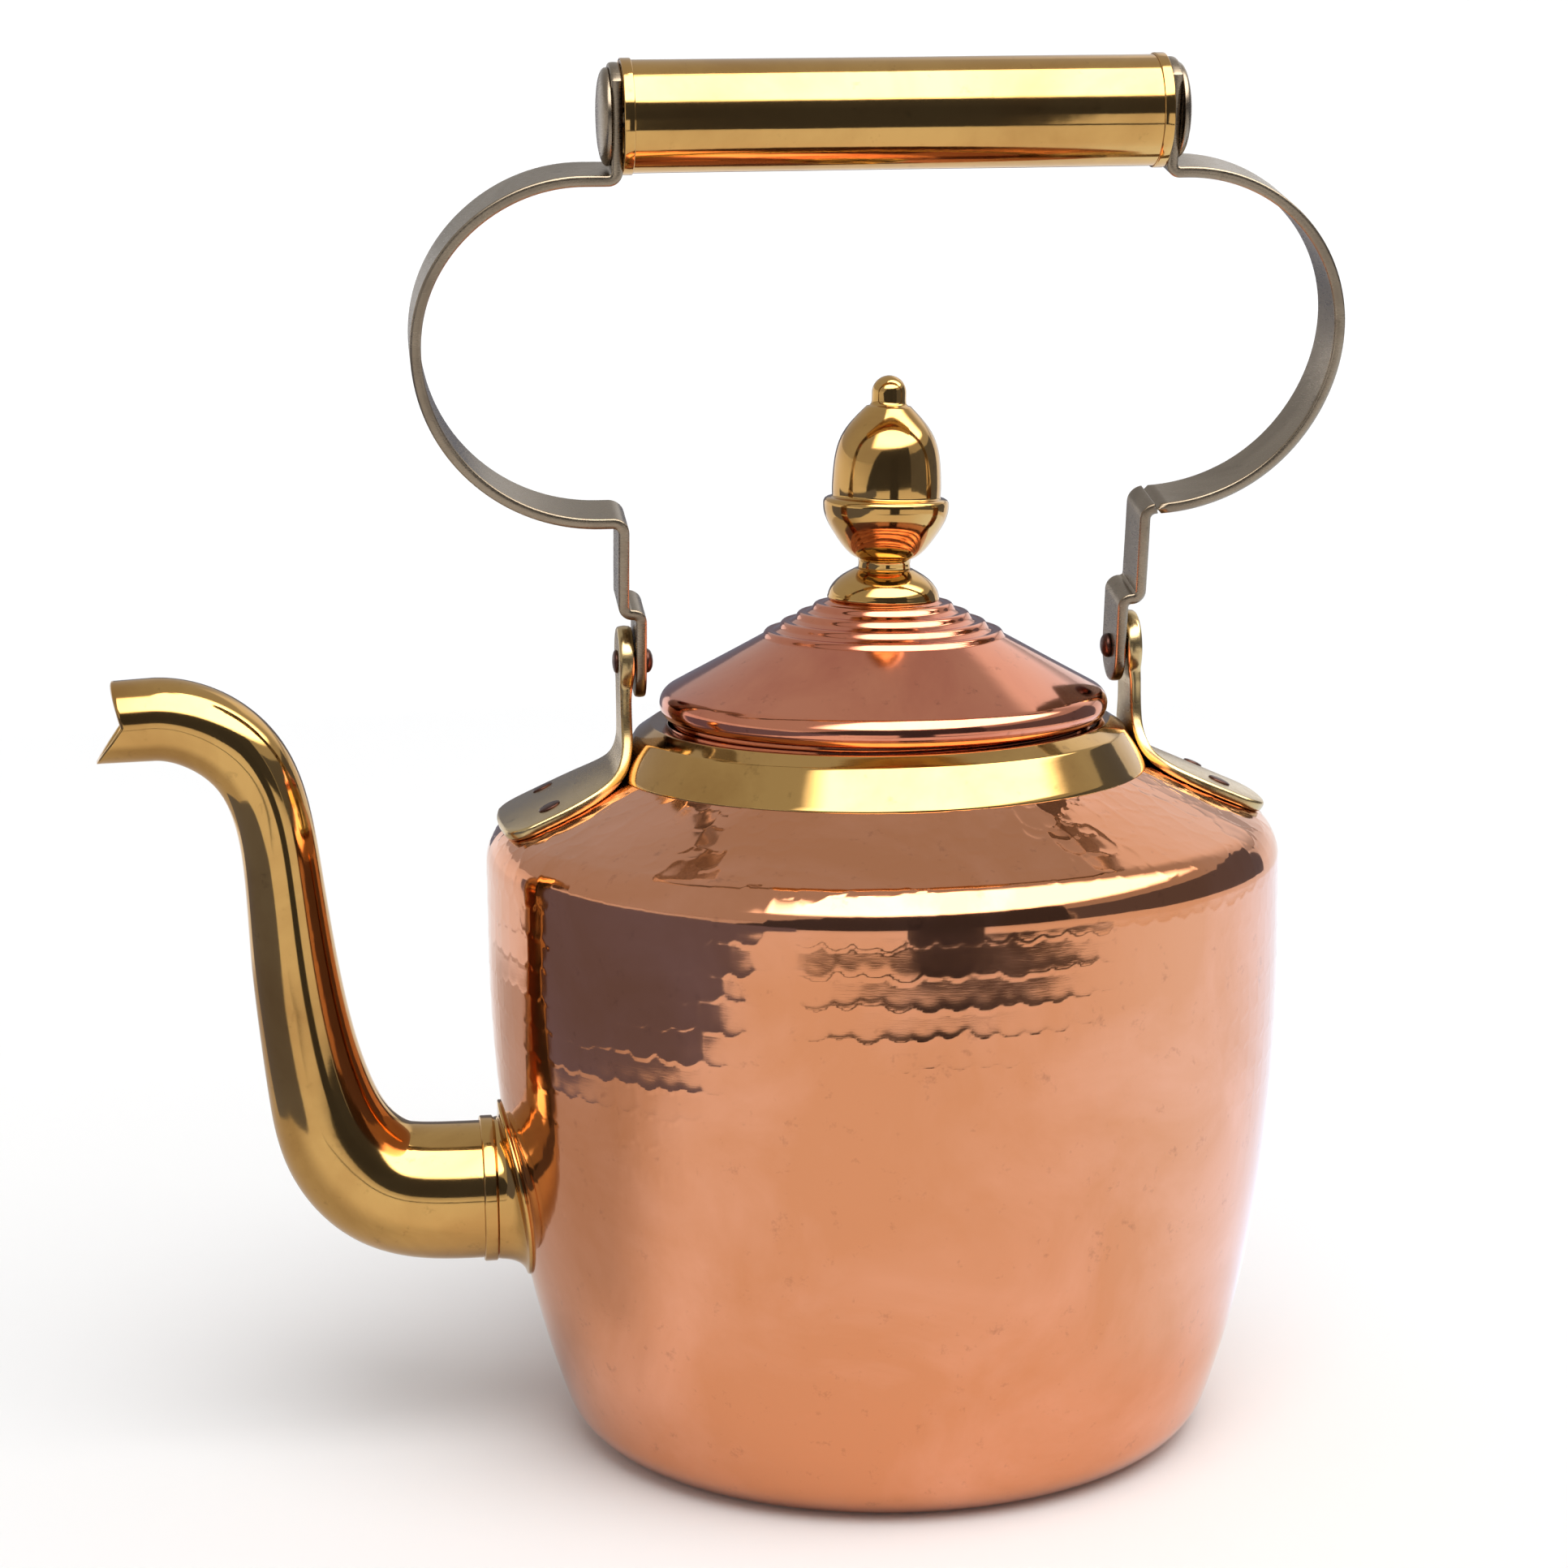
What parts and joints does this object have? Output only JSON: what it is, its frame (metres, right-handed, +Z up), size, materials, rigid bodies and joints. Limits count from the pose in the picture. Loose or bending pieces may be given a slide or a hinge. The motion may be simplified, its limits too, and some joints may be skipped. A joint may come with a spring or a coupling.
{
  "type": "kettle",
  "caption": "Round copper kettle with a brass swan-neck spout, swinging strap handle with a tubular grip, and a conical lift-off lid with an acorn finial.",
  "frame": {"origin": "centre of the round ring that the kettle stands on", "axes": "+Z up, spout towards -X, handle hinge along X, +Y behind the kettle"},
  "size_m": [0.2538, 0.1638, 0.2829],
  "materials": {
    "copper": "bright planished copper, lightly toned",
    "lid_copper": "spun copper, lightly toned",
    "brass": "polished brass, lightly toned",
    "strap_brass": "dull rubbed brass",
    "dark_rivet": "dark oxidised rivet",
    "steel": "plain bright steel"
  },
  "bodies": {
    "kettle": {"body_shell": "copper", "base_plate": "copper", "neck_collar": "brass", "spout_tube": "brass", "spout_collar": "brass", "left_handle_lug": "brass", "right_handle_lug": "brass", "left_lug_rivets": "dark_rivet", "right_lug_rivets": "dark_rivet", "left_hinge_rivet": "dark_rivet", "right_hinge_rivet": "dark_rivet"},
    "handle": {"left_handle_strap": "strap_brass", "right_handle_strap": "strap_brass", "grip_tube": "brass", "left_grip_ferrule": "brass", "right_grip_ferrule": "brass", "left_grip_cap": "strap_brass", "right_grip_cap": "strap_brass", "grip_tie_rod": "steel"},
    "lid": {"lid_cover": "lid_copper", "lid_plug": "lid_copper", "finial_acorn": "brass", "finial_foot": "brass", "finial_washer": "brass", "finial_nut": "brass"}
  },
  "joints": [
    {"name": "handle_swing", "type": "hinge", "parent": "kettle", "child": "handle", "pos_m": [0, 0, 0.1632], "axis": [1, 0, 0], "range_deg": [-122, 96]},
    {"name": "lid_lift", "type": "slide", "parent": "kettle", "child": "lid", "axis": [0, 0, 1], "range_m": [0, 0.036]}
  ]
}
